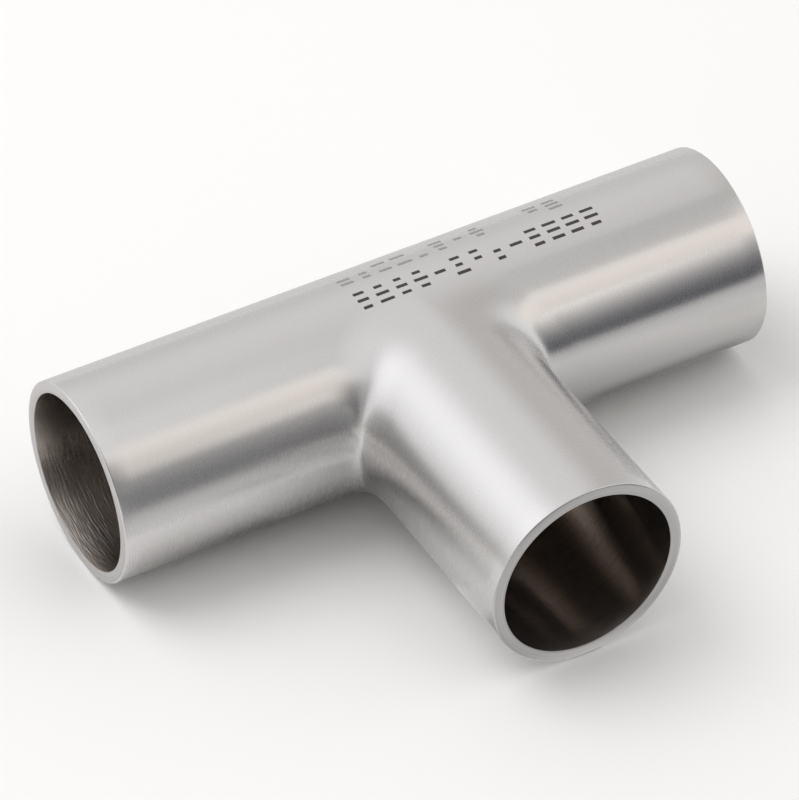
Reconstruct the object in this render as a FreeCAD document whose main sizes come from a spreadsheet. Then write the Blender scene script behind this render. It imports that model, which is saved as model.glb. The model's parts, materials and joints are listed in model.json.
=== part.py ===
"""Short weld tee for one inch sanitary tube, drawn in one piece from stainless tube.

The run lies along X and the branch points along -Y, with the two tube axes crossing at the origin.
The outside is a solid tee with a rolling-ball blend round the root of the branch. It is hollowed from
its three cut ends to one even wall, so the bore has the same soft saddle as the outside, and the cut
ends are then deburred. All sizes are in millimetres.
"""

import FreeCAD, Part
from FreeCAD import Vector
import Sketcher
import os

NODE = "weld_tee"

# Turns of a tube's circle, in degrees. They put the seam of each wall on the side where the two tubes join.
SEAM_TOWARDS_BRANCH = 180
SEAM_ALONG_RUN = 0

# Each driving dimension: alias, value in millimetres and what it measures.
DRIVING_SIZES = (
    ("tube_diameter", 25.4, "outside diameter of the run, one inch tube"),
    ("wall_thickness", 1.5, "wall of the run, the branch and the blend"),
    ("run_length", 88.0, "the run, from cut end to cut end"),
    ("branch_reach", 44.0, "from the run's axis to the branch's cut end"),
    ("branch_draw_in", 0.1, "how much less than the run the drawn branch measures across"),
    ("crotch_radius", 2.5, "outside blend between the run and the branch"),
    ("outer_edge_round", 0.2, "deburring round on the outside of each cut end"),
    ("inner_edge_round", 0.1, "deburring round on the inside of each cut end"),
)


def add_sheet(doc):
    """Puts the driving dimensions in a spreadsheet, one row each, with an alias on the value."""
    sheet = doc.addObject("Spreadsheet::Sheet", "sizes")
    for row, (alias, value, meaning) in enumerate(DRIVING_SIZES, start=1):
        sheet.set(f"A{row}", meaning)
        sheet.set(f"B{row}", str(value))
        sheet.setAlias(f"B{row}", alias)
    doc.recompute()


def origin_plane(body, role):
    """The body's own origin plane with that role, such as YZ_Plane."""
    return next(feature for feature in body.Origin.OriginFeatures if feature.Role == role)


def add_circle_sketch(body, name, role, turn, diameter):
    """A circle about the crossing point on one of the body's planes, its diameter bound to the sheet.

    The turn is in degrees, and puts the seam of the tube's wall on the side where it should be.
    """
    sketch = body.newObject("Sketcher::SketchObject", name)
    sketch.AttachmentSupport = [(origin_plane(body, role), "")]
    sketch.MapMode = "FlatFace"
    sketch.AttachmentOffset = FreeCAD.Placement(Vector(0, 0, 0), FreeCAD.Rotation(Vector(0, 0, 1), turn))
    # drawn 2 mm across, until the expression on the diameter gives it the sheet's size
    circle = sketch.addGeometry(Part.Circle(Vector(0, 0, 0), Vector(0, 0, 1), 1), False)
    sketch.addConstraint(Sketcher.Constraint("Coincident", circle, 3, -1, 1))
    across = sketch.addConstraint(Sketcher.Constraint("Diameter", circle, 2))
    sketch.renameConstraint(across, "across")
    sketch.setExpression("Constraints.across", diameter)
    return sketch


def add_run(body):
    """The run as a solid bar, the same length to both sides of the branch."""
    pad = body.newObject("PartDesign::Pad", "run_bar")
    diameter = "sizes.tube_diameter"
    pad.Profile = add_circle_sketch(body, "run_circle", "YZ_Plane", SEAM_TOWARDS_BRANCH, diameter)
    pad.SideType = "Symmetric"
    pad.setExpression("Length", "sizes.run_length")
    return pad


def add_branch(body):
    """The branch as a solid bar along -Y, which is the way the XZ plane faces."""
    pad = body.newObject("PartDesign::Pad", "branch_bar")
    diameter = "sizes.tube_diameter - sizes.branch_draw_in"
    pad.Profile = add_circle_sketch(body, "branch_circle", "XZ_Plane", SEAM_ALONG_RUN, diameter)
    pad.setExpression("Length", "sizes.branch_reach")
    return pad


def junction_edges(shape):
    """The saddle curve round the root of the branch: the only edge that is no circle and no line."""
    return [
        f"Edge{number}"
        for number, edge in enumerate(shape.Edges, start=1)
        if not isinstance(edge.Curve, (Part.Circle, Part.Line))
    ]


def cut_ends(shape):
    """The three flat ends, as face names and faces."""
    return [
        (f"Face{number}", face)
        for number, face in enumerate(shape.Faces, start=1)
        if isinstance(face.Surface, Part.Plane)
    ]


def rim_edges(shape, outside):
    """The circles round the cut ends, on the outside of the tube or on the bore."""
    rims = []
    for _, face in cut_ends(shape):
        for edge in face.Edges:
            on_outer_wire = any(edge.isSame(outer) for outer in face.OuterWire.Edges)
            if on_outer_wire == outside:
                rims.append(edge)
    return [
        f"Edge{number}"
        for number, edge in enumerate(shape.Edges, start=1)
        if any(edge.isSame(rim) for rim in rims)
    ]


def add_crotch_blend(body, base):
    """The rolling-ball blend that draws the run's wall up into the branch."""
    blend = body.newObject("PartDesign::Fillet", "crotch_blend")
    blend.Base = (base, junction_edges(base.Shape))
    blend.setExpression("Radius", "sizes.crotch_radius")
    return blend


def add_even_wall(body, base):
    """Hollows the bars from the three cut ends, inwards, and leaves one even wall."""
    wall = body.newObject("PartDesign::Thickness", "even_wall")
    wall.Base = (base, [name for name, _ in cut_ends(base.Shape)])
    wall.Reversed = True
    wall.setExpression("Value", "sizes.wall_thickness")
    return wall


def add_deburr(body, base, name, outside, radius):
    """The small round along one edge of each cut end, outside or inside, with its radius from the sheet."""
    rounding = body.newObject("PartDesign::Fillet", name)
    rounding.Base = (base, rim_edges(base.Shape, outside))
    rounding.setExpression("Radius", radius)
    return rounding


def add_outer_deburr(body, base):
    """Rounds the outside of each cut end."""
    return add_deburr(body, base, "outer_deburr", True, "sizes.outer_edge_round")


def add_inner_deburr(body, base):
    """Rounds the edge where each cut end meets the bore."""
    return add_deburr(body, base, "inner_deburr", False, "sizes.inner_edge_round")


def build_tee(doc):
    """The whole fitting as one body. A step that picks edges or faces reads the finished step before it."""
    body = doc.addObject("PartDesign::Body", NODE)
    body.Label = NODE
    add_run(body)
    step = add_branch(body)
    for add_step in (add_crotch_blend, add_even_wall, add_outer_deburr, add_inner_deburr):
        doc.recompute()
        step = add_step(body, step)
    doc.recompute()
    return body


def check(doc, body):
    """Stops if any feature failed, or if the body isn't one valid closed solid."""
    for item in doc.Objects:
        if "Invalid" in item.State or "Error" in item.State:
            raise RuntimeError(f"{item.Label} failed: {item.State}")
    shape = body.Shape
    if shape.isNull() or not shape.isValid() or len(shape.Solids) != 1:
        raise RuntimeError(f"{body.Label} isn't one valid solid")


def write_step(body):
    """Writes the body's shape to parts, under the body's label."""
    os.makedirs("parts", exist_ok=True)
    body.Shape.exportStep(os.path.join("parts", f"{body.Label}.step"))


document = FreeCAD.newDocument("short_weld_tee")
add_sheet(document)
tee = build_tee(document)
check(document, tee)
write_step(tee)
print(f"{tee.Label}: {tee.Shape.Volume:.1f} cubic mm, {len(tee.Shape.Faces)} faces")
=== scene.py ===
"""Dresses the short weld tee: its drawn wall, its finishes and the ink on its run, in a pale studio.

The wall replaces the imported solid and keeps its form. It comes from one rule: at each angle round the
root of the branch sits a ball that touches the run and the branch, and a conic joins the two points
where it touches. The same rule, a wall's thickness deeper, gives the bore. Sizes are in metres, apart
from those of the cards and veils, which are in millimetres. Angles that a field gives are in degrees,
and colours are linear.
"""

import json
import logging
import math
from dataclasses import dataclass
from enum import Enum
from typing import Sequence, Union

import bpy
from mathutils import Matrix, Vector


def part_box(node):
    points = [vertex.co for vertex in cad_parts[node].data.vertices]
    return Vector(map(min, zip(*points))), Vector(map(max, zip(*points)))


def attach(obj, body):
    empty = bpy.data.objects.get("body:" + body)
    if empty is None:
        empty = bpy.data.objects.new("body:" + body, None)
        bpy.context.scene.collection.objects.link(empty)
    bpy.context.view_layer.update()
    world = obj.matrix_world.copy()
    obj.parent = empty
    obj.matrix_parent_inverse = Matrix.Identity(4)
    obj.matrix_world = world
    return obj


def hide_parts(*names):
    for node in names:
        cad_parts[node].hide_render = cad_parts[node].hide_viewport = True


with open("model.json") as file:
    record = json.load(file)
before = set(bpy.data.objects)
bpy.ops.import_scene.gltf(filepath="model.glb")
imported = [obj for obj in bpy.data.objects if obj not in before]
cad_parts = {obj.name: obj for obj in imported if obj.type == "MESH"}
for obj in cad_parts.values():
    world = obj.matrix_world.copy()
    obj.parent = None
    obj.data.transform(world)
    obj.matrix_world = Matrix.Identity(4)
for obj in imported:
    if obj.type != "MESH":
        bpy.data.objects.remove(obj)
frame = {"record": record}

LOG = logging.getLogger("weld_tee")
MM = 0.001
NODE = "weld_tee"
BODY = "root"
NOISE_DETAIL = 2.0
Colour = tuple[float, float, float]
Number = Union["Formula", float]


class Kind(Enum):
    """What a mix works on, by the Mix node's own name for it."""

    COLOUR = "RGBA"
    DIRECTION = "VECTOR"


class Formula:
    """A number in a node tree that takes part in plain arithmetic.

    Each operation adds one Math node, so the rule for a surface reads as it does on paper.
    """

    def __init__(self, tree: bpy.types.NodeTree, socket: bpy.types.NodeSocket) -> None:
        """Starts from a socket that gives one number.

        Args:
            tree: The tree that the new nodes go into.
            socket: The output that holds the number.
        """
        self.tree = tree
        self.socket = socket

    def _apply(self, operation: str, first: Number, *others: Number) -> "Formula":
        """Adds one Math node.

        Args:
            operation: The node's operation, such as MULTIPLY.
            first: The first operand.
            others: The other operands, if the operation takes them.

        Returns:
            The node's result.
        """
        node = self.tree.nodes.new("ShaderNodeMath")
        node.operation = operation
        for socket, operand in zip(node.inputs, (first, *others)):
            feed(self.tree, socket, operand)
        return Formula(self.tree, node.outputs[0])

    def __add__(self, other: Number) -> "Formula":
        """The sum."""
        return self._apply("ADD", self, other)

    def __radd__(self, other: Number) -> "Formula":
        """The sum, with the plain number first."""
        return self._apply("ADD", other, self)

    def __sub__(self, other: Number) -> "Formula":
        """The difference."""
        return self._apply("SUBTRACT", self, other)

    def __rsub__(self, other: Number) -> "Formula":
        """The difference, with the plain number first."""
        return self._apply("SUBTRACT", other, self)

    def __mul__(self, other: Number) -> "Formula":
        """The product."""
        return self._apply("MULTIPLY", self, other)

    def __rmul__(self, other: Number) -> "Formula":
        """The product, with the plain number first."""
        return self._apply("MULTIPLY", other, self)

    def __truediv__(self, other: Number) -> "Formula":
        """The quotient."""
        return self._apply("DIVIDE", self, other)

    def __neg__(self) -> "Formula":
        """The number with its sign turned."""
        return self._apply("MULTIPLY", self, -1.0)

    def sine(self) -> "Formula":
        """The sine of an angle in radians."""
        return self._apply("SINE", self)

    def cosine(self) -> "Formula":
        """The cosine of an angle in radians."""
        return self._apply("COSINE", self)

    def arc_cosine(self) -> "Formula":
        """The angle in radians that has this cosine."""
        return self._apply("ARCCOSINE", self)

    def arc_sine(self) -> "Formula":
        """The angle in radians that has this sine."""
        return self._apply("ARCSINE", self)

    def bearing(self, ahead: Number) -> "Formula":
        """The angle in radians whose tangent is this number over the one ahead, all the way round."""
        return self._apply("ARCTAN2", self, ahead)

    def raised(self, power: Number) -> "Formula":
        """The number to a power."""
        return self._apply("POWER", self, power)

    def root(self) -> "Formula":
        """The square root."""
        return self._apply("SQRT", self)

    def size(self) -> "Formula":
        """The number without its sign."""
        return self._apply("ABSOLUTE", self)

    def over(self, limit: float) -> "Formula":
        """One where the number is over the limit, and nought elsewhere."""
        return self._apply("GREATER_THAN", self, limit)

    def ramp(self, start: float, stop: float, soft: bool = False) -> "Formula":
        """Rises from nought at start to one at stop, and stays level outside them.

        Args:
            start: Where the rise starts.
            stop: Where it ends. It may lie below start, and the ramp then falls.
            soft: Whether the rise eases in and out.

        Returns:
            The ramp's height.
        """
        node = self.tree.nodes.new("ShaderNodeMapRange")
        node.interpolation_type = "SMOOTHSTEP" if soft else "LINEAR"
        feed(self.tree, node.inputs["Value"], self)
        node.inputs["From Min"].default_value = start
        node.inputs["From Max"].default_value = stop
        return Formula(self.tree, node.outputs["Result"])


def feed(tree: bpy.types.NodeTree, socket: bpy.types.NodeSocket, value: object) -> None:
    """Links a socket to a formula or another socket, or sets it to a plain value.

    Args:
        tree: The tree that holds the socket.
        socket: The input to feed.
        value: A Formula, an output socket, or a value that the socket takes.
    """
    if isinstance(value, Formula):
        tree.links.new(value.socket, socket)
    elif isinstance(value, bpy.types.NodeSocket):
        tree.links.new(value, socket)
    else:
        socket.default_value = value


def node_of(tree: bpy.types.NodeTree, kind: str, fields: dict[str, object] | None = None,
            inputs: dict[str | int, object] | None = None) -> bpy.types.Node:
    """Adds a node, sets its own options and feeds its inputs.

    Args:
        tree: The tree that the node goes into.
        kind: The node's type, such as ShaderNodeTexNoise.
        fields: The node's options by name.
        inputs: Values, sockets or formulas by input name or number.

    Returns:
        The new node.
    """
    node = tree.nodes.new(kind)
    for name, value in (fields or {}).items():
        setattr(node, name, value)
    for key, value in (inputs or {}).items():
        feed(tree, node.inputs[key], value)
    return node


def vector_of(tree: bpy.types.NodeTree, x: Number, y: Number, z: Number) -> bpy.types.NodeSocket:
    """Joins three numbers into a vector.

    Args:
        tree: The tree that the node goes into.
        x: The part along X.
        y: The part along Y.
        z: The part along Z.

    Returns:
        The output that holds the vector.
    """
    return node_of(tree, "ShaderNodeCombineXYZ", inputs={0: x, 1: y, 2: z}).outputs[0]


def parts_of(tree: bpy.types.NodeTree, vector: bpy.types.NodeSocket) -> list[Formula]:
    """Splits a vector into its three numbers.

    Args:
        tree: The tree that the node goes into.
        vector: The output that holds the vector.

    Returns:
        The parts along X, Y and Z.
    """
    node = node_of(tree, "ShaderNodeSeparateXYZ", inputs={0: vector})
    return [Formula(tree, output) for output in node.outputs]


def mixed(tree: bpy.types.NodeTree, share: Number, kind: Kind, first: object,
          second: object) -> bpy.types.NodeSocket:
    """Mixes two colours or two directions.

    Args:
        tree: The tree that the node goes into.
        share: How much of the second, from 0 to 1.
        kind: What the two are.
        first: The value at share 0.
        second: The value at share 1.

    Returns:
        The output that holds the mix.
    """
    node = tree.nodes.new("ShaderNodeMix")
    node.data_type = kind.value
    live = [socket for socket in node.inputs if socket.enabled]
    for socket, value in zip(live, (share, first, second)):
        plain_colour = kind is Kind.COLOUR and isinstance(value, tuple)
        feed(tree, socket, (*value, 1.0) if plain_colour else value)
    return next(socket for socket in node.outputs if socket.enabled)


class GroupSizes:
    """A Geometry Nodes tree with one named input for each size of the piece that it makes."""

    def __init__(self, name: str, sizes: dict[str, float | int]) -> None:
        """Makes an empty tree with its inputs and its output.

        Args:
            name: The tree's name.
            sizes: Each input's name and value: a length in metres, a plain number, or a whole one.
        """
        self.tree = bpy.data.node_groups.new(name, "GeometryNodeTree")
        self.tree.interface.new_socket(name="Geometry", in_out="OUTPUT", socket_type="NodeSocketGeometry")
        self.sizes = sizes
        for label, size in sizes.items():
            kind = "NodeSocketInt" if isinstance(size, int) else "NodeSocketFloat"
            self.tree.interface.new_socket(name=label, in_out="INPUT", socket_type=kind)
        self.inputs = self.tree.nodes.new("NodeGroupInput")

    def size(self, label: str) -> Formula:
        """The named size as a number that the tree can work with."""
        return Formula(self.tree, self.inputs.outputs[label])

    def node(self, kind: str, fields: dict[str, object] | None = None,
             inputs: dict[str | int, object] | None = None) -> bpy.types.Node:
        """Adds a node to this tree, as node_of does."""
        return node_of(self.tree, kind, fields, inputs)

    def joined(self, pieces: Sequence[bpy.types.NodeSocket]) -> bpy.types.NodeSocket:
        """Joins several geometries into one.

        Args:
            pieces: The outputs that hold them.

        Returns:
            The output that holds them all.
        """
        join = self.tree.nodes.new("GeometryNodeJoinGeometry")
        for piece in pieces:
            self.tree.links.new(piece, join.inputs[0])
        return join.outputs[0]

    def finish(self, geometry: bpy.types.NodeSocket) -> None:
        """Sends a geometry out of the tree."""
        out = self.tree.nodes.new("NodeGroupOutput")
        self.tree.links.new(geometry, out.inputs[0])

    def piece(self, name: str) -> bpy.types.Object:
        """Runs the tree and keeps its result as a plain mesh.

        Args:
            name: The new piece's name.

        Returns:
            The piece, at the origin, with no modifier on it.
        """
        carrier = bpy.data.objects.new(f"{name}_carrier", bpy.data.meshes.new(f"{name}_carrier"))
        bpy.context.scene.collection.objects.link(carrier)
        modifier = carrier.modifiers.new("Build", "NODES")
        modifier.node_group = self.tree
        for item in self.tree.interface.items_tree:
            if item.in_out == "INPUT":
                modifier[item.identifier] = self.sizes[item.name]
        evaluated = carrier.evaluated_get(bpy.context.evaluated_depsgraph_get())
        mesh = bpy.data.meshes.new_from_object(evaluated)
        mesh.name = name
        bpy.data.objects.remove(carrier)
        piece = bpy.data.objects.new(name, mesh)
        bpy.context.scene.collection.objects.link(piece)
        return piece


@dataclass(frozen=True)
class Grain:
    """One kind of mark that a finish leaves, as lines round the tube."""

    across: float
    length: float
    depth: float

    def height(self, tree: bpy.types.NodeTree, place: Sequence[Formula], on_branch: Formula) -> Formula:
        """Noise drawn out round the run, and round the branch where the branch is.

        Args:
            tree: The material's tree.
            place: The point's X, Y and Z.
            on_branch: How far the point belongs to the branch, from 0 to 1.

        Returns:
            The marks' height, from 0 to 1.
        """
        x, y, z = place
        thin, long = 1.0 / self.across, 1.0 / self.length
        run = self._noise(tree, vector_of(tree, x * thin, y * long, z * long))
        branch = self._noise(tree, vector_of(tree, x * long, y * thin, z * long))
        return run + (branch - run) * on_branch

    def _noise(self, tree: bpy.types.NodeTree, place: bpy.types.NodeSocket) -> Formula:
        """Noise at a place that is already stretched."""
        noise = node_of(tree, "ShaderNodeTexNoise", inputs={
            "Vector": place, "Scale": 1.0, "Detail": NOISE_DETAIL,
        })
        return Formula(tree, noise.outputs[0])


@dataclass(frozen=True)
class BrushedTube:
    """Stainless tube that is brushed round the run and round the branch.

    The first of its grains can be deeper, and the metal rougher, towards the low side of the run. The marks
    turn from the run to the branch within a short way of the mitre at the sides, and gently at the crown.
    """

    name: str
    colour: Colour
    roughness: float
    streaking: float
    grains: tuple[Grain, ...]
    uneven_colour: float = 0.06
    uneven_roughness: float = 0.08
    low_side: float = 0.0
    low_roughness: float = 0.0
    low_start: float = 3.0 * MM
    low_stop: float = -11.2 * MM
    low_at_top: float = 0.27
    low_in_branch: float = 0.2
    turn_at_side: float = 1.5 * MM
    turn_at_crown: float = 9.0 * MM
    crown_start: float = 8.5 * MM
    crown_top: float = 12.5 * MM

    def material(self) -> bpy.types.Material:
        """Builds the finish.

        Returns:
            The material.
        """
        material = bpy.data.materials.new(self.name)
        material.use_nodes = True
        tree = material.node_tree
        shader = tree.nodes["Principled BSDF"]
        place = parts_of(tree, tree.nodes.new("ShaderNodeTexCoord").outputs["Object"])
        on_branch = self._on_branch(place)
        heights = [grain.height(tree, place, on_branch) for grain in self.grains]
        low = self._low_side(place, on_branch)
        relief = heights[0] * self.grains[0].depth * (low * low * self.low_side + 1.0)
        for height, grain in zip(heights[1:], self.grains[1:]):
            relief = relief + height * grain.depth
        shade = heights[0] * self.uneven_colour + (1.0 - self.uneven_colour / 2)
        tint = node_of(tree, "ShaderNodeVectorMath", {"operation": "SCALE"}, {
            0: self.colour, "Scale": shade,
        })
        feed(tree, shader.inputs["Base Color"], tint.outputs[0])
        shader.inputs["Metallic"].default_value = 1.0
        rough = heights[0] * self.uneven_roughness + (self.roughness - self.uneven_roughness / 2)
        rough = rough + low * self.low_roughness
        feed(tree, shader.inputs["Roughness"], rough)
        shader.inputs["Anisotropic"].default_value = self.streaking
        axis = mixed(tree, on_branch, Kind.DIRECTION, (1.0, 0.0, 0.0), (0.0, 1.0, 0.0))
        feed(tree, shader.inputs["Tangent"], axis)
        bump = node_of(tree, "ShaderNodeBump", inputs={"Height": relief, "Distance": 1.0, "Strength": 1.0})
        feed(tree, shader.inputs["Normal"], bump.outputs[0])
        return material

    def _low_side(self, place: Sequence[Formula], on_branch: Formula) -> Formula:
        """Where the marks are deepest: along the bottom of the run, and far less along that of the branch.

        Args:
            place: The point's X, Y and Z.
            on_branch: How far the point belongs to the branch, from 0 to 1.

        Returns:
            How far the point belongs to that place, from 0 to 1.
        """
        bottom = place[2].ramp(self.low_start, self.low_stop, soft=True)
        bottom = bottom * (1.0 - self.low_at_top) + self.low_at_top
        return bottom * (1.0 - on_branch * (1.0 - self.low_in_branch))

    def _on_branch(self, place: Sequence[Formula]) -> Formula:
        """Where the brushing turns from the run to the branch: at the mitre, and gently at the crown.

        Args:
            place: The point's X, Y and Z.

        Returns:
            How far the point belongs to the branch, from 0 to 1.
        """
        x, y, z = place
        crown = z.size().ramp(self.crown_start, self.crown_top, soft=True)
        width = crown * (self.turn_at_crown - self.turn_at_side) + self.turn_at_side
        return ((-y - x.size()) / width).ramp(-1.0, 1.0, soft=True)


OUTSIDE = BrushedTube(
    name="brushed_outside",
    colour=(0.660, 0.649, 0.645),
    roughness=0.27,
    streaking=0.7,
    grains=(Grain(0.16 * MM, 3.8 * MM, 0.0004 * MM), Grain(0.34 * MM, 0.9 * MM, 0.0008 * MM)),
    uneven_colour=0.04,
    uneven_roughness=0.04,
)
BORE = BrushedTube(
    name="machined_bore",
    colour=(0.455, 0.412, 0.378),
    roughness=0.21,
    streaking=0.8,
    grains=(Grain(0.26 * MM, 2.2 * MM, 0.0035 * MM), Grain(0.9 * MM, 24.0 * MM, 0.004 * MM)),
    uneven_colour=0.35,
    uneven_roughness=0.10,
    low_side=20.0,
    low_roughness=0.09,
)


@dataclass(frozen=True)
class FacedEnd:
    """A cut end, faced on a lathe, with fine rings round the bore. On the branch's end its colour is
    painted brighter, as painted light for how the light falls there.
    """

    colour: Colour = (0.560, 0.546, 0.547)
    roughness: float = 0.42
    ring: float = 0.22 * MM
    ring_depth: float = 0.0060 * MM
    ring_tint: float = 0.40
    turns_per_metre: float = 60.0
    streaking: float = 0.2
    branch_end: float = 30.0 * MM
    branch_end_painted_light: float = 0.10

    def material(self) -> bpy.types.Material:
        """Builds the finish.

        Returns:
            The material.
        """
        material = bpy.data.materials.new("faced_end")
        material.use_nodes = True
        tree = material.node_tree
        shader = tree.nodes["Principled BSDF"]
        x, y, z = parts_of(tree, tree.nodes.new("ShaderNodeTexCoord").outputs["Object"])
        on_branch = (-y).over(self.branch_end)
        beside = y + (x - y) * on_branch
        from_axis = (beside * beside + z * z).root()
        slow = self.turns_per_metre
        out = vector_of(tree, from_axis * (1.0 / self.ring), beside * slow, z * slow)
        noise = node_of(tree, "ShaderNodeTexNoise", inputs={
            "Vector": out, "Scale": 1.0, "Detail": NOISE_DETAIL,
        })
        rings = Formula(tree, noise.outputs[0])
        shade = rings * self.ring_tint + (1.0 - self.ring_tint / 2)
        # Painted light: the branch's end is painted brighter than the run's ends, for how the light falls
        # on it. The rings are the face's own tone.
        ring_tone_and_painted_light = shade * (on_branch * self.branch_end_painted_light + 1.0)
        tint = node_of(tree, "ShaderNodeVectorMath", {"operation": "SCALE"}, {
            0: self.colour, "Scale": ring_tone_and_painted_light,
        })
        feed(tree, shader.inputs["Base Color"], tint.outputs[0])
        shader.inputs["Metallic"].default_value = 1.0
        shader.inputs["Roughness"].default_value = self.roughness
        shader.inputs["Anisotropic"].default_value = self.streaking
        to_run, to_branch = vector_of(tree, 0.0, y, z), vector_of(tree, x, 0.0, z)
        across = mixed(tree, on_branch, Kind.DIRECTION, to_run, to_branch)
        feed(tree, shader.inputs["Tangent"], across)
        bump = node_of(tree, "ShaderNodeBump", inputs={
            "Height": rings * self.ring_depth, "Distance": 1.0, "Strength": 1.0,
        })
        feed(tree, shader.inputs["Normal"], bump.outputs[0])
        return material


@dataclass
class TeeWall:
    """The whole fitting: one wall that runs from cut end to cut end and up into the branch.

    Three sheets make it. One covers the back of the run, and two, left and right, cover the front of the
    run and the branch. Each sheet is a grid: across it the steps go round the tube, and along it they
    follow the wall's section, out along the outside, over a cut end, back along the bore and over the
    other cut end.

    The blend round the root of the branch is what drawing leaves: tight at the sides, where the branch
    stands square to the run, and long and flat at the crown, where both tubes have the same top.
    """

    run_radius: float
    branch_radius: float
    wall: float
    run_reach: float
    branch_reach: float
    crotch_setback: float = 5.5 * MM
    crotch_tightness: float = 4.0
    crown_tightness: float = 1.4
    crown_ease: float = 0.035
    crown_power: float = 0.65
    edge_round: float = 0.2 * MM
    bore_edge_round: float = 0.1 * MM
    steps_round: int = 168
    branch_steps: int = 12
    blend_steps: int = 30
    run_steps: int = 12
    round_steps: int = 4
    face_steps: int = 2
    bore_round_steps: int = 2
    merge_distance: float = 0.0005 * MM
    sharp_from: float = 30.0

    @property
    def rim_steps(self) -> int:
        """The steps over one cut end."""
        return self.round_steps + self.face_steps + self.bore_round_steps

    def build(self, outside: bpy.types.Material, end: bpy.types.Material,
              bore: bpy.types.Material) -> bpy.types.Object:
        """Makes the wall as one closed mesh.

        Args:
            outside: The finish of the outside.
            end: The finish of the cut ends.
            bore: The finish of the bore.

        Returns:
            The piece.
        """
        group = GroupSizes("Drawn tee wall", {
            "Run radius": self.run_radius,
            "Branch radius": self.branch_radius,
            "Wall": self.wall,
            "Run reach": self.run_reach,
            "Branch reach": self.branch_reach,
            "Crotch setback": self.crotch_setback,
            "Crotch tightness": self.crotch_tightness,
            "Crown tightness": self.crown_tightness,
            "Crown ease": self.crown_ease,
            "Crown power": self.crown_power,
            "Edge round": self.edge_round,
            "Bore edge round": self.bore_edge_round,
        })
        right = self._front(group)
        mirror = group.node("GeometryNodeTransform", inputs={"Geometry": right, "Scale": (-1.0, 1.0, 1.0)})
        left = group.node("GeometryNodeFlipFaces", inputs={"Mesh": mirror.outputs[0]}).outputs[0]
        whole = group.joined((right, left, self._back(group)))
        merged = group.node("GeometryNodeMergeByDistance", inputs={
            "Geometry": whole, "Distance": self.merge_distance,
        })
        geometry = self._shaded(group, merged.outputs[0])
        geometry = group.node("GeometryNodeRealizeInstances", inputs={0: geometry}).outputs[0]
        section = self._section(group)
        just_short_of_bore = self.rim_steps - 0.1
        for material, low in ((outside, None), (end, self.round_steps), (bore, just_short_of_bore)):
            dress = group.node("GeometryNodeSetMaterial", inputs={
                "Geometry": geometry, "Material": material,
            })
            if low is not None:
                feed(group.tree, dress.inputs["Selection"], section.over(low))
            geometry = dress.outputs[0]
        group.finish(geometry)
        return group.piece("tee_wall")

    def _section(self, group: GroupSizes) -> Formula:
        """How far over the cut end a face lies: nought outside, and all the rim's steps in the bore."""
        named = group.node("GeometryNodeInputNamedAttribute", {"data_type": "FLOAT"}, {"Name": "section"})
        return Formula(group.tree, next(s for s in named.outputs if s.enabled))

    def _shaded(self, group: GroupSizes, mesh: bpy.types.NodeSocket) -> bpy.types.NodeSocket:
        """Shades the wall smooth, apart from the corners of its cut ends.

        Args:
            group: The tree that the nodes go into.
            mesh: The wall.

        Returns:
            The shaded wall.
        """
        angle = Formula(group.tree, group.node("GeometryNodeInputMeshEdgeAngle").outputs["Unsigned Angle"])
        smooth = group.node("GeometryNodeSetShadeSmooth", {"domain": "FACE"}, {"Geometry": mesh})
        sharp = group.node("GeometryNodeSetShadeSmooth", {"domain": "EDGE"}, {
            "Geometry": smooth.outputs[0],
            "Selection": angle.over(math.radians(self.sharp_from)),
            "Shade Smooth": False,
        })
        return sharp.outputs[0]

    def _grid(self, group: GroupSizes,
              along: int) -> tuple[bpy.types.NodeSocket, Formula, Formula, Formula, Formula]:
        """Lays out a flat sheet and works out where each of its points lies on the wall's section.

        Args:
            group: The tree that the nodes go into.
            along: The steps along the outside, from cut end to cut end.

        Returns:
            The sheet, how far round it a point lies from 0 to 1, how many steps along the wall, how deep
            in it, and how far back from the cut end's plane its end is at that depth.
        """
        rim = self.rim_steps
        total = 2 * (along + rim)
        grid = group.node("GeometryNodeMeshGrid", inputs={
            "Size X": 1.0, "Size Y": 1.0, "Vertices X": self.steps_round + 1, "Vertices Y": total + 1,
        })
        x, y, _ = parts_of(group.tree, group.node("GeometryNodeInputPosition").outputs[0])
        step = (y + 0.5) * float(total)
        out = step.ramp(0.0, along) - step.ramp(along + rim, 2 * along + rim)
        over = step.ramp(along, along + rim) - step.ramp(2 * along + rim, total)
        over = over * float(rim)
        face_end = self.round_steps + self.face_steps
        outer_turn = over.ramp(0.0, self.round_steps) * (math.pi / 2)
        face = over.ramp(self.round_steps, face_end)
        inner_turn = over.ramp(face_end, rim) * (math.pi / 2)
        outer, inner = group.size("Edge round"), group.size("Bore edge round")
        depth = outer * (1.0 - outer_turn.cosine()) + (group.size("Wall") - outer - inner) * face
        depth = depth + inner * inner_turn.sine()
        inset = outer * (1.0 - outer_turn.sine()) + inner * (1.0 - inner_turn.cosine())
        marked = group.node("GeometryNodeStoreNamedAttribute", {"data_type": "FLOAT", "domain": "FACE"}, {
            "Geometry": grid.outputs[0], "Name": "section", "Value": over,
        })
        return marked.outputs[0], x + 0.5, out * float(along), depth, inset

    def _ball(self, group: GroupSizes, off_crown: Number) -> Formula:
        """The radius of the ball that the blend hugs: small at the root's sides, and large at the crown.

        Args:
            group: The tree that the nodes go into.
            off_crown: The squared sine of the angle round the branch, from nought at the crown.

        Returns:
            The radius.
        """
        ease = group.size("Crown ease")
        growth = ((ease + 1.0) / (ease + off_crown)).raised(group.size("Crown power"))
        return group.size("Crotch setback") * growth

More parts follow.
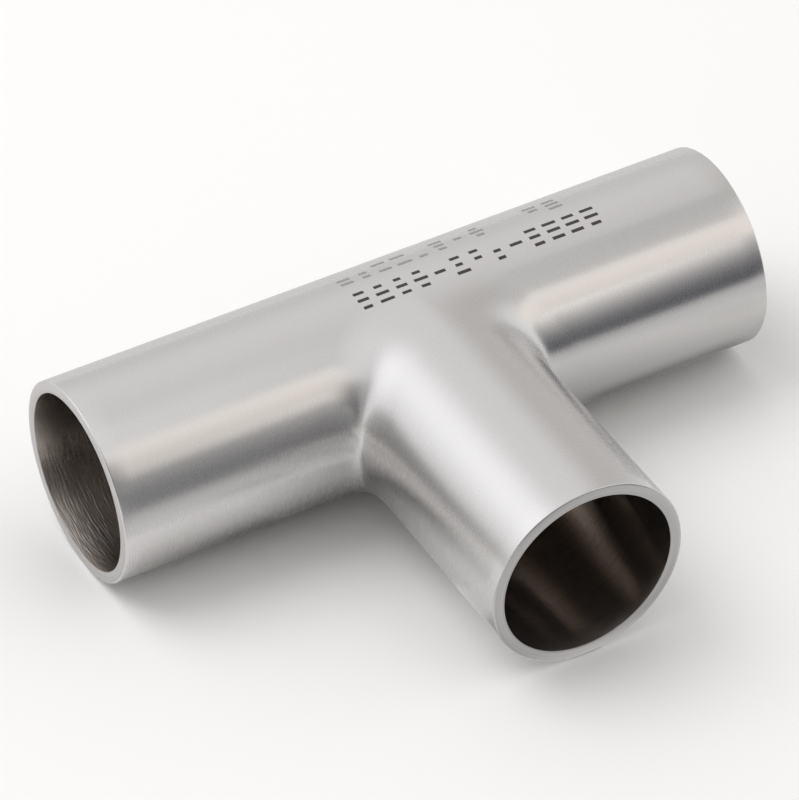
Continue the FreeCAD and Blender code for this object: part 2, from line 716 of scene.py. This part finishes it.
    def _front(self, group: GroupSizes) -> bpy.types.NodeSocket:
        """The right half of the front of the run and of the branch.

        A ball that touches both tubes sits at each angle round the branch. Between the two points where
        it touches, the wall's section is a conic that leaves both tubes at their own slope.

        Args:
            group: The tree that the nodes go into.

        Returns:
            The output that holds the sheet.
        """
        along = self.branch_steps + self.blend_steps + self.run_steps
        sheet, share, step, depth, inset = self._grid(group, along)
        up_branch = step.ramp(0.0, self.branch_steps)
        over_blend = step.ramp(self.branch_steps, self.branch_steps + self.blend_steps)
        out_run = step.ramp(self.branch_steps + self.blend_steps, along)
        angle = share * math.pi
        branch_x, branch_z = angle.sine(), angle.cosine()
        ball = self._ball(group, branch_x * branch_x)
        from_run, from_branch = group.size("Run radius") + ball, group.size("Branch radius") + ball
        ball_x, ball_z = from_branch * branch_x, from_branch * branch_z
        run_z = ball_z / from_run
        run_y = -(1.0 - run_z * run_z).root()
        ball_y = from_run * run_y
        together = branch_z * run_z
        before = 1.0 - over_blend
        crown = group.size("Crown tightness")
        tightness = crown + (group.size("Crotch tightness") - crown) * branch_x * branch_x
        pull = before * over_blend * tightness * 2.0
        shared = pull / (together + 1.0)
        weight = before * before + pull + over_blend * over_blend
        to_branch = ball * (before * before + shared) / weight
        to_run = ball * (over_blend * over_blend + shared) / weight
        lean_branch = before * before * tightness + before * over_blend
        lean_run = over_blend * over_blend * tightness + before * over_blend
        squares = lean_branch * lean_branch + lean_run * lean_run
        lean = (squares + lean_branch * lean_run * together * 2.0).root()
        to_branch = to_branch + depth * lean_branch / lean
        to_run = to_run + depth * lean_run / lean
        x = ball_x - to_branch * branch_x + out_run * (group.size("Run reach") - inset - ball_x)
        y = ball_y - to_run * run_y + (1.0 - up_branch) * (inset - group.size("Branch reach") - ball_y)
        z = ball_z - to_branch * branch_z - to_run * run_z
        return self._placed(group, sheet, vector_of(group.tree, x, y, z))

    def _back(self, group: GroupSizes) -> bpy.types.NodeSocket:
        """The back of the run, between the two lines where the blend leaves it at the crown.

        Args:
            group: The tree that the nodes go into.

        Returns:
            The output that holds the sheet.
        """
        along = 2 * self.run_steps
        sheet, share, step, depth, inset = self._grid(group, along)
        ball = self._ball(group, 0.0)
        start = ((group.size("Branch radius") + ball) / (group.size("Run radius") + ball)).arc_cosine()
        angle = start - share * (start * 2.0 + math.pi)
        radius = group.size("Run radius") - depth
        x = (group.size("Run reach") - inset) * (1.0 - step * (2.0 / along))
        place = vector_of(group.tree, x, -(radius * angle.sine()), radius * angle.cosine())
        return self._placed(group, sheet, place)

    def _placed(self, group: GroupSizes, sheet: bpy.types.NodeSocket,
                place: bpy.types.NodeSocket) -> bpy.types.NodeSocket:
        """Bends a flat sheet to its place."""
        bent = group.node("GeometryNodeSetPosition", inputs={"Geometry": sheet, "Position": place})
        return bent.outputs[0]


INK_GRAIN = 3.0 / MM
INK_UNEVENNESS = 0.7
INK_ROUGHNESS = 0.55


class Ink(Enum):
    """The inks of the marks on the run, by their colour."""

    FRESH = (0.034, 0.027, 0.028)
    WORN = (0.275, 0.262, 0.262)

    def material(self) -> bpy.types.Material:
        """A thin matt film, a little uneven.

        Returns:
            The material.
        """
        material = bpy.data.materials.new(f"ink_{self.name.lower()}")
        material.use_nodes = True
        tree = material.node_tree
        shader = tree.nodes["Principled BSDF"]
        place = tree.nodes.new("ShaderNodeTexCoord").outputs["Object"]
        noise = node_of(tree, "ShaderNodeTexNoise", inputs={
            "Vector": place, "Scale": INK_GRAIN, "Detail": NOISE_DETAIL,
        })
        shade = Formula(tree, noise.outputs[0]) * INK_UNEVENNESS + (1.0 - INK_UNEVENNESS / 2)
        tint = node_of(tree, "ShaderNodeVectorMath", {"operation": "SCALE"}, {
            0: self.value, "Scale": shade,
        })
        feed(tree, shader.inputs["Base Color"], tint.outputs[0])
        shader.inputs["Roughness"].default_value = INK_ROUGHNESS
        return material


@dataclass(frozen=True)
class MarkLine:
    """One line of marks, in rows of dashes.

    Its first dash's place is along the run from the crossing point. The angle of each row is round the run,
    from its top towards the branch. The share of its dashes that are kept lies between 0 and 1.
    """

    ink: Ink
    first: float
    count: int
    angles: tuple[float, ...]
    kept: float


@dataclass
class InkMarks:
    """Plain dashes that stand where such a fitting has its marking. They spell nothing.

    They are laid out flat over the run and dropped straight down onto the wall, so they follow its bends.
    """

    run_radius: float
    dash: float = 1.95 * MM
    stroke: float = 0.46 * MM
    film: float = 0.03 * MM
    pitch: float = 2.62 * MM
    shortest: float = 0.45
    film_lift: float = 0.2
    seed: int = 11
    salt_per_line: int = 10
    salt_for_kept: float = 100.0
    lines: tuple[MarkLine, ...] = (
        MarkLine(Ink.WORN, -5.6 * MM, 8, (-23.6, -18.6, -13.6), 0.80),
        MarkLine(Ink.WORN, 20.6 * MM, 2, (-23.6, -18.6, -13.6), 0.80),
        MarkLine(Ink.FRESH, -5.6 * MM, 13, (-1.2, 4.6, 10.4), 0.82),
    )

    def build(self, wall: bpy.types.Object) -> bpy.types.Object:
        """Prints the marks on the wall.

        Args:
            wall: The finished wall.

        Returns:
            The piece.
        """
        group = GroupSizes("Ink marks", {
            "Dash": self.dash,
            "Stroke": self.stroke,
            "Film": self.film,
            "Pitch": self.pitch,
            "Shortest": self.shortest,
            "Seed": self.seed,
        })
        rows = [
            self._row(group, line, math.radians(angle), self.salt_per_line * number + level)
            for number, line in enumerate(self.lines) for level, angle in enumerate(line.angles)
        ]
        flat = group.node("GeometryNodeRealizeInstances", inputs={0: group.joined(rows)})
        geometry = self._laid(group, flat.outputs[0], wall)
        named = group.node("GeometryNodeInputNamedAttribute", {"data_type": "FLOAT"}, {"Name": "worn"})
        worn = Formula(group.tree, next(s for s in named.outputs if s.enabled))
        for ink, selection in ((Ink.FRESH, None), (Ink.WORN, worn.over(0.5))):
            dress = group.node("GeometryNodeSetMaterial", inputs={
                "Geometry": geometry, "Material": ink.material(),
            })
            if selection is not None:
                feed(group.tree, dress.inputs["Selection"], selection)
            geometry = dress.outputs[0]
        group.finish(geometry)
        return group.piece("ink_marks")

    def _row(self, group: GroupSizes, line: MarkLine, angle: float, salt: int) -> bpy.types.NodeSocket:
        """One row of dashes of uneven length, with some left out.

        Args:
            group: The tree that the nodes go into.
            line: The line that the row belongs to.
            angle: The row's angle round the run, in radians.
            salt: What is added to the seed, so that each row is drawn apart.

        Returns:
            The output that holds the row.
        """
        slab = group.node("GeometryNodeMeshCube", inputs={
            "Size": vector_of(group.tree, group.size("Dash"), group.size("Stroke"), group.size("Film")),
            "Vertices X": 9, "Vertices Y": 3, "Vertices Z": 2,
        })
        marked = group.node("GeometryNodeStoreNamedAttribute", {"data_type": "FLOAT", "domain": "FACE"}, {
            "Geometry": slab.outputs[0], "Name": "worn", "Value": 1.0 if line.ink is Ink.WORN else 0.0,
        })
        start = (line.first, -self.run_radius * math.sin(angle), 0.0)
        spots = group.node("GeometryNodeMeshLine", inputs={
            "Count": line.count, "Start Location": start,
            "Offset": vector_of(group.tree, group.size("Pitch"), 0.0, 0.0),
        })
        seed = group.size("Seed") + float(salt)
        length = self._drawn(group, group.size("Shortest"), 1.0, seed)
        kept = self._drawn(group, 0.0, 1.0, seed + self.salt_for_kept)
        spread = group.node("GeometryNodeInstanceOnPoints", inputs={
            "Points": spots.outputs[0],
            "Instance": marked.outputs[0],
            "Selection": (1.0 - kept).over(1.0 - line.kept),
            "Scale": vector_of(group.tree, length, 1.0, 1.0),
        })
        return spread.outputs[0]

    def _drawn(self, group: GroupSizes, low: Number, high: Number, seed: Number) -> Formula:
        """A random number for each dash."""
        node = group.tree.nodes.new("FunctionNodeRandomValue")
        live = [socket for socket in node.inputs if socket.enabled]
        for socket, value in zip(live, (low, high)):
            feed(group.tree, socket, value)
        feed(group.tree, node.inputs["Seed"], seed)
        return Formula(group.tree, next(s for s in node.outputs if s.enabled))

    def _laid(self, group: GroupSizes, flat: bpy.types.NodeSocket,
              wall: bpy.types.Object) -> bpy.types.NodeSocket:
        """Drops the flat marks onto the wall, with a little of the film above it.

        Args:
            group: The tree that the nodes go into.
            flat: The marks, level, at the height of the run's axis.
            wall: The finished wall.

        Returns:
            The output that holds the marks in their place.
        """
        above = 2.0 * self.run_radius
        surface = group.node("GeometryNodeObjectInfo", inputs={"Object": wall}).outputs["Geometry"]
        x, y, height = parts_of(group.tree, group.node("GeometryNodeInputPosition").outputs[0])
        ray = group.node("GeometryNodeRaycast", inputs={
            "Target Geometry": surface,
            "Source Position": vector_of(group.tree, x, y, above),
            "Ray Direction": (0.0, 0.0, -1.0),
            "Ray Length": above,
        })
        lift = group.node("ShaderNodeVectorMath", {"operation": "SCALE"}, {
            0: ray.outputs["Hit Normal"], "Scale": height + group.size("Film") * self.film_lift,
        })
        place = group.node("ShaderNodeVectorMath", {"operation": "ADD"}, {
            0: ray.outputs["Hit Position"], 1: lift.outputs[0],
        })
        laid = group.node("GeometryNodeSetPosition", inputs={
            "Geometry": flat, "Position": place.outputs[0],
        })
        return laid.outputs[0]


@dataclass(frozen=True)
class Panel:
    """Something large and even in the studio that the metal reflects, such as a soft box or a dark gap.

    It fades in over its soft widths on each side of its border, and its roll tips its side up.
    """

    azimuth: float
    elevation: float
    half_width: float
    half_height: float
    colour: Colour
    soft_across: float = 8.0
    soft_up: float = 8.0
    roll: float = 0.0

    def over(self, tree: bpy.types.NodeTree, way: bpy.types.NodeSocket,
             behind: object) -> bpy.types.NodeSocket:
        """Hangs the panel in front of what is there.

        Args:
            tree: The world's tree.
            way: The direction that is looked in.
            behind: The colour that is there already.

        Returns:
            The output with the panel in front.
        """
        out, side, up = facing(self.azimuth, self.elevation, self.roll)
        ahead, aside, above = (self._along(tree, way, axis) for axis in (out, side, up))
        off_side = aside.bearing(ahead).size()
        off_up = above.arc_sine().size()
        share = self._fade(off_side, self.half_width, self.soft_across)
        share = share * self._fade(off_up, self.half_height, self.soft_up)
        return mixed(tree, share, Kind.COLOUR, behind, self.colour)

    def _along(self, tree: bpy.types.NodeTree, way: bpy.types.NodeSocket, axis: Vector) -> Formula:
        """How far a direction points along an axis."""
        dot = node_of(tree, "ShaderNodeVectorMath", {"operation": "DOT_PRODUCT"}, {0: way, 1: tuple(axis)})
        return Formula(tree, dot.outputs["Value"])

    def _fade(self, off: Formula, half: float, soft: float) -> Formula:
        """One inside the panel's half size, and nought outside it."""
        return off.ramp(math.radians(half + soft), math.radians(half - soft), soft=True)


def facing(azimuth: float, elevation: float, roll: float) -> tuple[Vector, Vector, Vector]:
    """The direction to something round the part, and the directions to its side and its top.

    Args:
        azimuth: Degrees round from the front, which is -Y, towards +X.
        elevation: Degrees up from the floor.
        roll: Degrees that its side is tipped up.

    Returns:
        The directions out, to the side and up.
    """
    round_, rise, tip = math.radians(azimuth), math.radians(elevation), math.radians(roll)
    out = Vector((math.sin(round_) * math.cos(rise), -math.cos(round_) * math.cos(rise), math.sin(rise)))
    side = Vector((0, 0, 1)).cross(out).normalized()
    up = out.cross(side)
    return out, side * math.cos(tip) + up * math.sin(tip), up * math.cos(tip) - side * math.sin(tip)


def hung(name: str, corners: Sequence[Sequence[float]], material: bpy.types.Material) -> bpy.types.Object:
    """Hangs a flat sheet near the part that only reflections see, and that throws no shadow.

    Args:
        name: The sheet's name.
        corners: Its four corners, in order round it.
        material: What it is made of.

    Returns:
        The sheet.
    """
    mesh = bpy.data.meshes.new(name)
    mesh.from_pydata([tuple(corner) for corner in corners], [], [(0, 1, 2, 3)])
    mesh.materials.append(material)
    sheet = bpy.data.objects.new(name, mesh)
    sheet.visible_camera = False
    sheet.visible_diffuse = False
    sheet.visible_shadow = False
    bpy.context.scene.collection.objects.link(sheet)
    return sheet


@dataclass(frozen=True)
class Card:
    """A card standing near the part, or a sheet lying on the floor, out of the camera's sight, that the
    metal mirrors as a band. A sheet on the floor is painted shade: it glows in place of the floor, mostly
    darker than the lit floor, so that the metal mirrors a shaded floor there.

    The places are in millimetres: its middle, and from there to the middle of its side and of its top.
    Its foot and its top each have a colour at both sides. The colour fades from side to side, and from
    foot to top, slowly at first where its ease is over one.
    """

    name: str
    middle: tuple[float, float, float]
    to_side: tuple[float, float, float]
    to_top: tuple[float, float, float]
    foot: tuple[Colour, Colour]
    top: tuple[Colour, Colour]
    ease: float = 1.0

    def build(self) -> None:
        """Makes the card."""
        middle, side, top = (Vector(place) * MM for place in (self.middle, self.to_side, self.to_top))
        corners = (middle - side - top, middle + side - top, middle + side + top, middle - side + top)
        card = hung(self.name, corners, self._material(middle, side, top))

    def _material(self, middle: Vector, side: Vector, top: Vector) -> bpy.types.Material:
        """An even glow, which no lamp changes.

        Args:
            middle: The card's middle, in metres.
            side: From there to the middle of its side.
            top: From there to the middle of its top.

        Returns:
            The material.
        """
        material = bpy.data.materials.new(self.name)
        material.use_nodes = True
        tree = material.node_tree
        shader = tree.nodes["Principled BSDF"]
        shader.inputs["Base Color"].default_value = (0.0, 0.0, 0.0, 1.0)
        shader.inputs["Specular IOR Level"].default_value = 0.0
        shader.inputs["Emission Strength"].default_value = 1.0
        place = tree.nodes.new("ShaderNodeTexCoord").outputs["Object"]
        aside, above = (self._share(tree, place, middle, reach) for reach in (side, top))
        foot = mixed(tree, aside, Kind.COLOUR, *self.foot)
        head = mixed(tree, aside, Kind.COLOUR, *self.top)
        glow = mixed(tree, above.raised(self.ease), Kind.COLOUR, foot, head)
        feed(tree, shader.inputs["Emission Color"], glow)
        return material

    def _share(self, tree: bpy.types.NodeTree, place: bpy.types.NodeSocket, middle: Vector,
               reach: Vector) -> Formula:
        """How far across the card a point lies, from 0 to 1, in the direction of a reach."""
        off = node_of(tree, "ShaderNodeVectorMath", {"operation": "SUBTRACT"}, {0: place, 1: tuple(middle)})
        dot = node_of(tree, "ShaderNodeVectorMath", {"operation": "DOT_PRODUCT"}, {
            0: off.outputs[0], 1: tuple(reach / reach.length_squared),
        })
        return Formula(tree, dot.outputs["Value"]).ramp(-1.0, 1.0)


@dataclass(frozen=True)
class Veil:
    """A thin veil just over the floor that only reflections see, for the deep shade close to the tube.

    It takes away a share of what lies behind it, and the share fades in from its borders. Its places are in
    millimetres. Steep is how far upwards a line of sight must point, from 0 to 1, before the veil works.
    """

    name: str
    across: tuple[float, float]
    along: tuple[float, float]
    fade: tuple[float, float]
    share: float
    steep: float = 0.0
    steep_fade: float = 0.18
    height: float = -12.2

    def build(self) -> None:
        """Makes the veil."""
        (left, right), (front, back) = self.across, self.along
        spots = ((left, front), (right, front), (right, back), (left, back))
        corners = [(x * MM, y * MM, self.height * MM) for x, y in spots]
        veil = hung(self.name, corners, self._material())

    def _material(self) -> bpy.types.Material:
        """Lets through all but the share.

        Returns:
            The material.
        """
        material = bpy.data.materials.new(self.name)
        material.use_nodes = True
        tree = material.node_tree
        tree.nodes.clear()
        x, y, _ = parts_of(tree, tree.nodes.new("ShaderNodeTexCoord").outputs["Object"])
        _, _, up = parts_of(tree, tree.nodes.new("ShaderNodeNewGeometry").outputs["Incoming"])
        share = self._fade(x, self.across, self.fade[0]) * self._fade(y, self.along, self.fade[1])
        share = share * up.ramp(self.steep, self.steep + self.steep_fade, soft=True) * self.share
        clear = 1.0 - share
        left_over = vector_of(tree, clear, clear, clear)
        gauze = node_of(tree, "ShaderNodeBsdfTransparent", inputs={"Color": left_over})
        node_of(tree, "ShaderNodeOutputMaterial", inputs={"Surface": gauze.outputs[0]})
        return material

    def _fade(self, place: Formula, reach: tuple[float, float], fade: float) -> Formula:
        """One well inside the reach, and nought at both its ends."""
        low, high = reach
        rise = place.ramp(low * MM, (low + fade) * MM, soft=True)
        return rise * place.ramp(high * MM, (high - fade) * MM, soft=True)


@dataclass
class Studio:
    """The pale floor, the soft light, what the metal mirrors, and the camera."""

    floor_height: float
    background: Colour = (1.0, 1.0, 1.0)
    floor_colour: Colour = (0.905, 0.900, 0.894)
    panels: tuple[Panel, ...] = (
        Panel(-132, 43, 19, 20, (1.46, 1.46, 1.49), 14, 16),
        Panel(136, 38, 34, 36, (0.92, 0.91, 0.905), 16, 8),
        Panel(150, 6, 34, 18, (0.75, 0.745, 0.74), 14, 18),
        Panel(122, 36, 14, 32, (0.655, 0.64, 0.62), 11, 10, 30),
        Panel(34, 42, 26, 15, (1.20, 1.13, 1.05), 10, 6),
        Panel(-120, 3, 40, 6, (0.68, 0.66, 0.64), 20, 7),
        Panel(-38, 29, 34, 28, (0.42, 0.42, 0.42), 14, 6),
        Panel(-52, 3, 44, 4, (0.62, 0.59, 0.56), 14, 4),
        Panel(-9, 24, 25, 19, (0.20, 0.20, 0.205), 7, 9, 24),
    )
    cards: tuple[Card, ...] = (
        Card("front_left_card", (7.0, -159.7, 33.3), (47.0, 25.3, 0.0), (0.0, 0.0, 46.0),
             ((0.26, 0.26, 0.27), (0.17, 0.17, 0.18)), ((0.46, 0.46, 0.46), (0.50, 0.49, 0.48)), 2.0),
        Card("front_right_card", (94.0, -112.8, 38.0), (40.0, 21.6, -14.0), (0.0, 0.0, 57.0),
             ((0.02, 0.025, 0.045), (0.02, 0.025, 0.045)), ((1.95, 1.89, 1.82), (0.20, 0.20, 0.20)), 2.0),
        # Painted shade: the sheets that lie on the floor glow in place of a shaded floor, and only
        # reflections see them.
        Card("front_mat", (15.0, -92.0, -12.5), (95.0, 12.0, 0.0), (0.0, -68.0, 0.0),
             ((0.76, 0.755, 0.75), (0.92, 0.91, 0.90)), ((0.16, 0.16, 0.16), (0.32, 0.315, 0.31))),
        Card("left_shade", (-17.5, -39.5, -12.4), (5.5, 0.0, 0.0), (0.0, 5.0, 0.0),
             ((0.70, 0.695, 0.69), (0.38, 0.38, 0.38)), ((0.70, 0.695, 0.69), (0.38, 0.38, 0.38))),
        Card("right_shade", (40.0, -25.0, -12.45), (22.0, 0.0, 0.0), (0.0, 20.0, 0.0),
             ((0.60, 0.59, 0.58), (1.00, 0.985, 0.97)), ((0.15, 0.145, 0.14), (0.40, 0.39, 0.38)), 3.0),
        # Painted shade: a dimmer floor behind the tube, seen only in reflections.
        Card("back_mat", (50.0, 150.0, -12.5), (130.0, 0.0, 0.0), (0.0, 112.0, 0.0),
             ((0.77, 0.765, 0.76), (0.77, 0.765, 0.76)), ((0.80, 0.795, 0.79), (0.80, 0.795, 0.79))),
        Card("right_card", (116.0, -38.0, 195.0), (52.0, 0.0, 0.0), (0.0, 58.0, 0.0),
             ((0.62, 0.61, 0.595), (0.60, 0.59, 0.58)), ((0.62, 0.61, 0.595), (0.60, 0.59, 0.58))),
    )
    veils: tuple[Veil, ...] = (
        Veil("left_veil", (-45.5, 12.0), (-15.5, 9.0), (24.0, 9.0), 0.66, 0.74),
        Veil("corner_veil", (-22.0, 8.0), (-46.0, -8.0), (5.0, 8.0), 0.10),
        Veil("right_veil", (19.0, 47.0), (-13.5, 5.0), (6.0, 6.0), 0.56, 0.72),
        Veil("far_right_veil", (40.0, 80.0), (-54.0, -20.0), (9.0, 9.0), 0.16),
        Veil("branch_end_veil", (-16.0, 22.0), (-54.0, -43.0), (6.0, 3.5), 0.34),
    )
    camera_azimuth: float = -28.519
    camera_elevation: float = 40.715
    camera_roll: float = -1.163
    camera_distance: float = 0.691268
    camera_aside: float = 0.290 * MM
    camera_up: float = 4.719 * MM
    focal_pixels: float = 5727.357
    frame_height: float = 800.0
    camera_clip: float = 0.01
    lamp_place: tuple[float, float, float] = (-0.32, 0.26, 0.72)
    lamp_width: float = 0.6
    lamp_power: float = 1.8
    floor_half_width: float = 2.5

    def build(self) -> None:
        """Makes the world, the lamp, the floor, the cards, the veils and the camera."""
        self._world()
        self._lamp()
        self._floor()
        for mirrored in (*self.cards, *self.veils):
            mirrored.build()
        self._camera()

    def _world(self) -> None:
        """A white studio. The camera sees plain white, also through glass.

        Reflections see the panels over that same white, so the metal shows it wherever no panel hangs.
        """
        world = bpy.data.worlds.new("studio")
        bpy.context.scene.world = world
        world.use_nodes = True
        tree = world.node_tree
        tree.nodes.clear()
        way = tree.nodes.new("ShaderNodeTexCoord").outputs["Generated"]
        colour: object = self.background
        for panel in self.panels:
            colour = panel.over(tree, way, colour)
        path = tree.nodes.new("ShaderNodeLightPath")
        seen, through = (Formula(tree, path.outputs[f"Is {ray} Ray"]) for ray in ("Camera", "Transmission"))
        colour = mixed(tree, seen + through, Kind.COLOUR, colour, self.background)
        glow = node_of(tree, "ShaderNodeBackground", inputs={"Color": colour, "Strength": 1.0})
        node_of(tree, "ShaderNodeOutputWorld", inputs={"Surface": glow.outputs[0]})

    def _lamp(self) -> None:
        """One large soft lamp overhead, back and to the left, for the shadow in front of the tube."""
        lamp = bpy.data.lights.new("overhead", "AREA")
        lamp.shape = "DISK"
        lamp.size = self.lamp_width
        lamp.energy = self.lamp_power
        holder = bpy.data.objects.new("overhead", lamp)
        holder.location = self.lamp_place
        holder.rotation_euler = Vector(holder.location).to_track_quat("Z", "Y").to_euler()
        holder.visible_glossy = False
        holder.visible_camera = False
        bpy.context.scene.collection.objects.link(holder)

    def _floor(self) -> None:
        """A plain pale floor that keeps the shadow."""
        material = bpy.data.materials.new("pale_floor")
        material.use_nodes = True
        shader = material.node_tree.nodes["Principled BSDF"]
        shader.inputs["Base Color"].default_value = (*self.floor_colour, 1.0)
        shader.inputs["Roughness"].default_value = 1.0
        shader.inputs["Specular IOR Level"].default_value = 0.0
        half = self.floor_half_width
        mesh = bpy.data.meshes.new("floor")
        corners = [(x * half, y * half, self.floor_height) for x, y in ((-1, -1), (1, -1), (1, 1), (-1, 1))]
        mesh.from_pydata(corners, [], [(0, 1, 2, 3)])
        mesh.materials.append(material)
        floor = bpy.data.objects.new("floor", mesh)
        bpy.context.scene.collection.objects.link(floor)

    def _camera(self) -> None:
        """The camera, at the photograph's angle and distance."""
        back, right, up = facing(self.camera_azimuth, self.camera_elevation, self.camera_roll)
        data = bpy.data.cameras.new("camera")
        data.lens = self.focal_pixels / self.frame_height * data.sensor_width
        data.clip_start = self.camera_clip
        camera = bpy.data.objects.new("camera", data)
        place = back * self.camera_distance - right * self.camera_aside - up * self.camera_up
        camera.matrix_world = Matrix.Translation(place) @ Matrix((right, up, back)).transposed().to_4x4()
        bpy.context.scene.collection.objects.link(camera)
        bpy.context.scene.camera = camera


def main() -> None:
    """Builds the pieces in order and reports each one."""
    logging.basicConfig(level=logging.INFO, format="%(message)s")
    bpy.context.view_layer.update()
    low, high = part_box(NODE)
    mounts = {mount["name"]: mount for mount in frame["record"]["mounts"]}
    run_radius = high.z
    wall_thickness = run_radius - mounts["run_bore"]["dims"]["r_mm"] * MM
    wall = TeeWall(
        run_radius=run_radius,
        branch_radius=mounts["branch_bore"]["dims"]["r_mm"] * MM + wall_thickness,
        wall=wall_thickness,
        run_reach=high.x,
        branch_reach=-low.y,
    )
    piece = wall.build(OUTSIDE.material(), FacedEnd().material(), BORE.material())
    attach(piece, BODY)
    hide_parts(NODE)
    marks = InkMarks(run_radius=run_radius).build(piece)
    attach(marks, BODY)
    for made in (piece, marks):
        LOG.info("%s: %d faces", made.name, len(made.data.polygons))
    Studio(floor_height=low.z).build()
    bpy.context.scene.view_settings.view_transform = "Standard"


if __name__ == "__main__":
    main()
